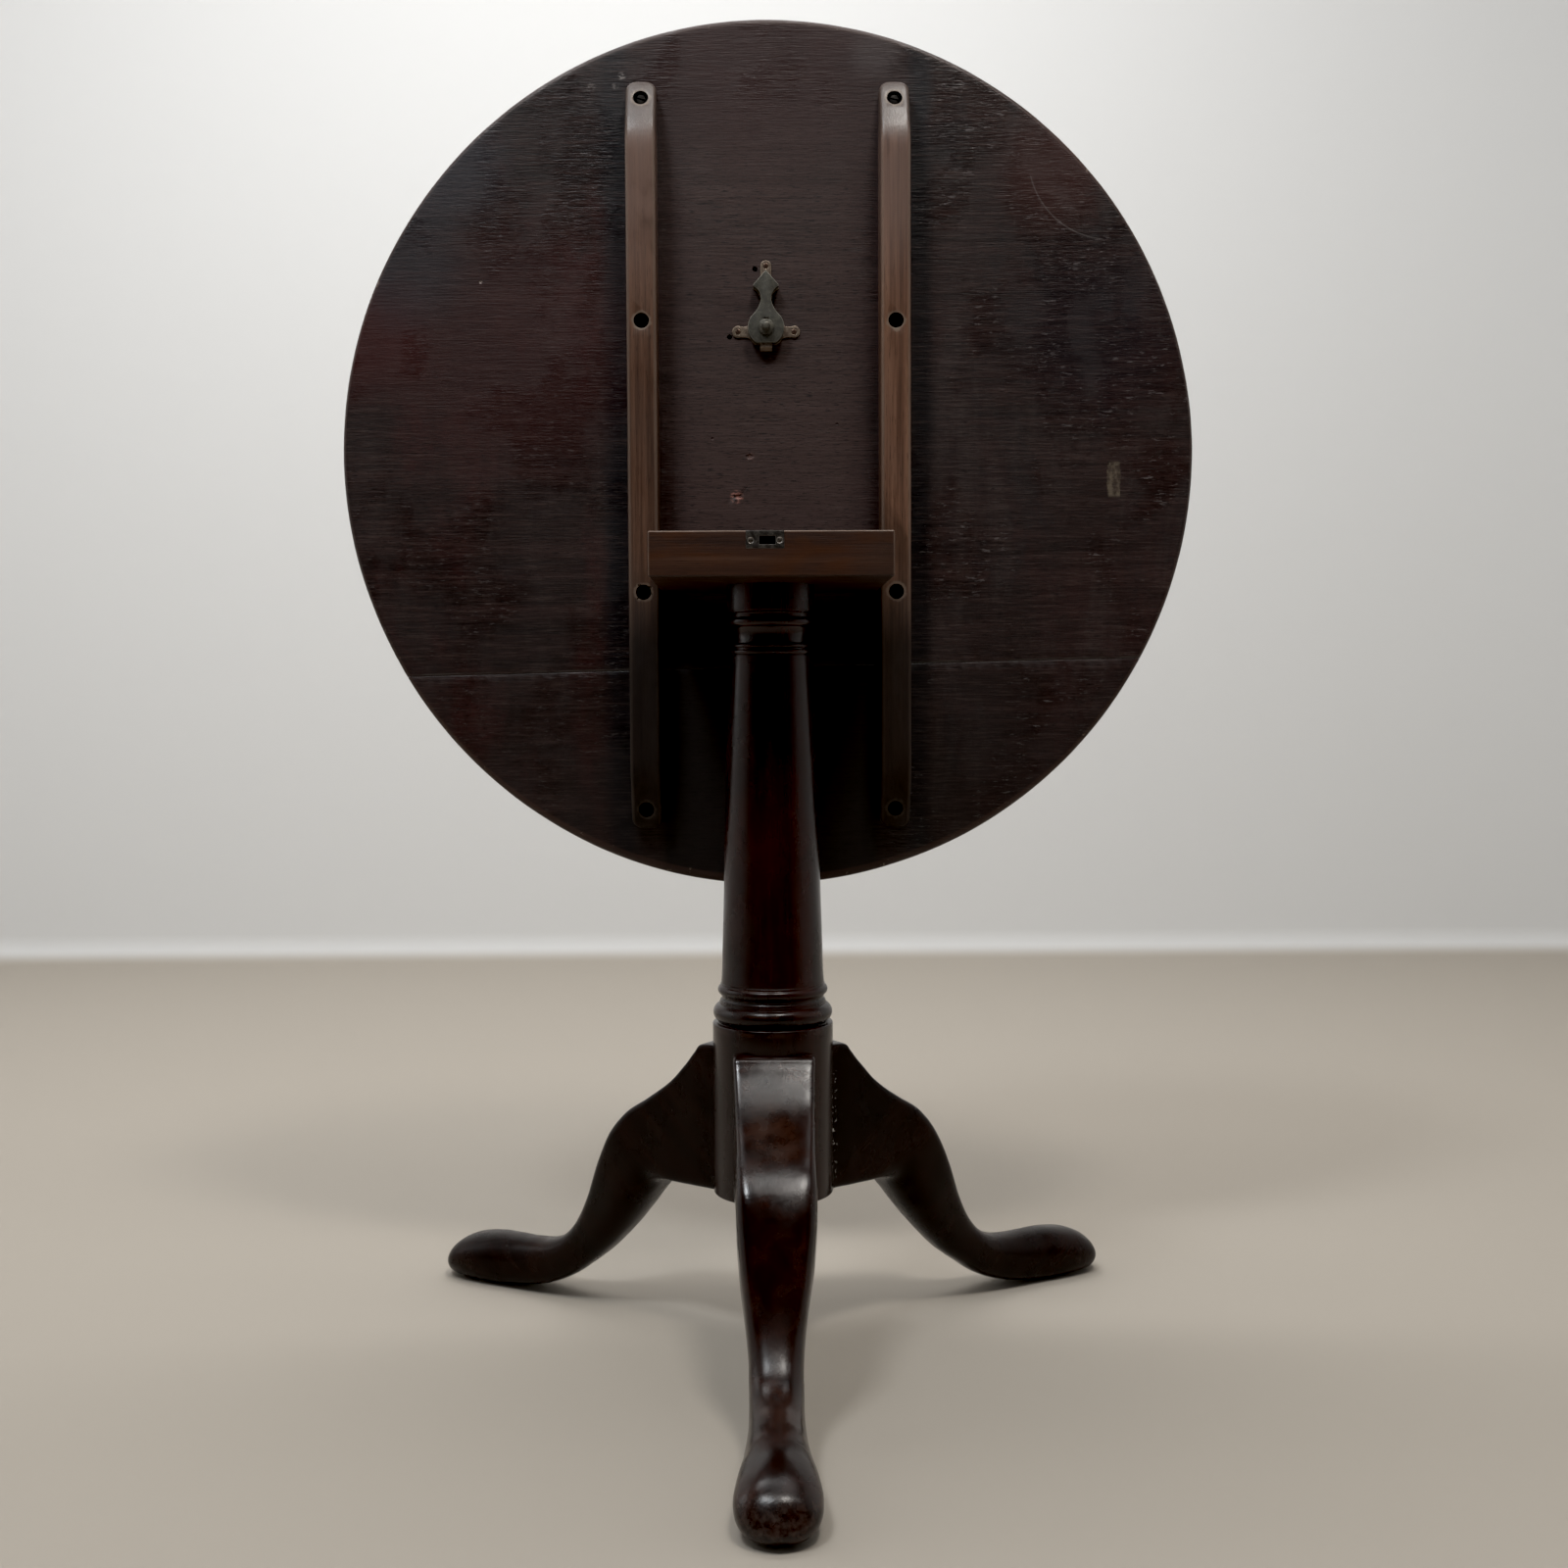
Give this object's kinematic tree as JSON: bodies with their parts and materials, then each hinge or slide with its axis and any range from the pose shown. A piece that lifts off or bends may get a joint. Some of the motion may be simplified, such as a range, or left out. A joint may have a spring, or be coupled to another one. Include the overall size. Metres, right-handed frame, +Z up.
{
  "type": "tilt top table",
  "caption": "Round wooden top on bearers, hinged on a block over a turned pedestal with cabriole legs; it tilts from level to upright, and a spring catch holds it level.",
  "frame": {"origin": "on the floor, under the column's axis", "axes": "+Z up; -Y the front, where the front leg points and the catch closes; the top stands tilted up on the +Y side at rest"},
  "size_m": [0.78, 0.605, 1.1771],
  "materials": {
    "top_wood": "old dark mahogany, wax polished",
    "bearer_wood": "brown mahogany batten, wax polished",
    "block_wood": "red brown mahogany, wax polished",
    "turned_wood": "near black polished mahogany",
    "leg_wood": "near black polished mahogany",
    "wedge_wood": "oiled hardwood",
    "brass": "aged brass",
    "bronze": "dark patinated bronze",
    "dark_steel": "dark steel",
    "strike_iron": "darkened iron"
  },
  "bodies": {
    "stand": {"column": "turned_wood", "tenon_wedge": "wedge_wood", "pivot_block": "block_wood", "front_leg": "leg_wood", "rear_left_leg": "leg_wood", "rear_right_leg": "leg_wood", "strike_plate": "strike_iron", "strike_screws": "dark_steel"},
    "top": {"top_board_wide": "top_wood", "top_board_narrow": "top_wood", "left_bearer": "bearer_wood", "right_bearer": "bearer_wood", "left_bearer_screws": "dark_steel", "right_bearer_screws": "dark_steel", "catch_base_plate": "brass", "catch_case": "bronze", "catch_screws": "brass", "catch_spring": "dark_steel"},
    "catch bolt": {"catch_bolt": "brass", "catch_knob": "brass"}
  },
  "joints": [
    {"name": "top_tilt", "type": "hinge", "parent": "stand", "child": "top", "pos_m": [0, 0.093, 0.6793], "axis": [1, 0, 0], "range_deg": [0, 90]},
    {"name": "catch_slide", "type": "slide", "parent": "top", "child": "catch bolt", "axis": [0, 0, 1], "range_m": [0, 0.006], "stiffness_N_per_m": 300, "springref_m": -0.006, "deforming": ["catch_spring"]}
  ]
}
